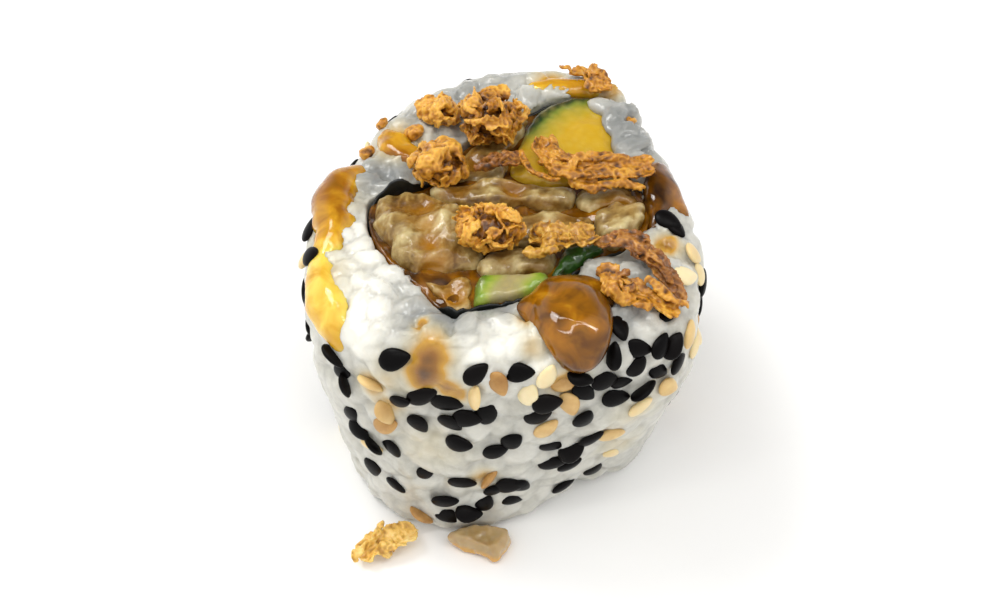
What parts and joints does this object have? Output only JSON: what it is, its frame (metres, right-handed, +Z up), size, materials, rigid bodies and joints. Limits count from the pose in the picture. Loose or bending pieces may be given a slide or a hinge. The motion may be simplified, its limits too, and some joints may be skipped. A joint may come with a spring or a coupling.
{
  "type": "inside-out sushi roll piece",
  "caption": "Piece of inside-out sushi roll standing on a cut end, sesame-coated rice round nori, chicken, cucumber and leaf, topped with sauce and fried onion.",
  "frame": {"origin": "on the flat underside, at the middle of the part's bounding box seen from above", "axes": "+Z up out of the upper cut, -Y towards the side that carries the sauce drop and the pieces at the foot"},
  "size_m": [0.0446, 0.0524, 0.0387],
  "materials": {
    "rice": "moist cooked rice, translucent white",
    "nori": "damp black-green seaweed sheet",
    "chicken": "cooked chicken glazed with sauce",
    "cucumber": "wet cut flesh with a dark green skin",
    "leaf": "wet dark green leaf",
    "sauce": "thick glossy amber sauce",
    "fried_onion": "crisp golden fried onion with brown edges",
    "soaked_onion": "soft translucent onion soaked in sauce",
    "black_sesame": "black sesame seed",
    "white_sesame": "toasted white sesame seed"
  },
  "bodies": {
    "root": {"rice": "rice", "nori": "nori", "chicken_left": "chicken", "chicken_front": "chicken", "chicken_centre": "chicken", "chicken_middle": "chicken", "chicken_strip": "chicken", "chicken_right": "chicken", "chicken_side": "chicken", "chicken_back": "chicken", "cucumber_large": "cucumber", "cucumber_small": "cucumber", "leaf": "leaf", "sauce_drop": "sauce", "onion_ball_back": "fried_onion", "onion_crumbs_back": "fried_onion", "onion_cluster_left": "fried_onion", "onion_ball_front": "fried_onion", "onion_chip_dark": "fried_onion", "onion_shred_long": "fried_onion", "onion_chip_front": "fried_onion", "onion_shred_dark": "fried_onion", "onion_curl_right": "fried_onion", "onion_shred_back": "fried_onion", "onion_chip_foot": "fried_onion", "onion_soaked_foot": "soaked_onion"}
  },
  "joints": []
}
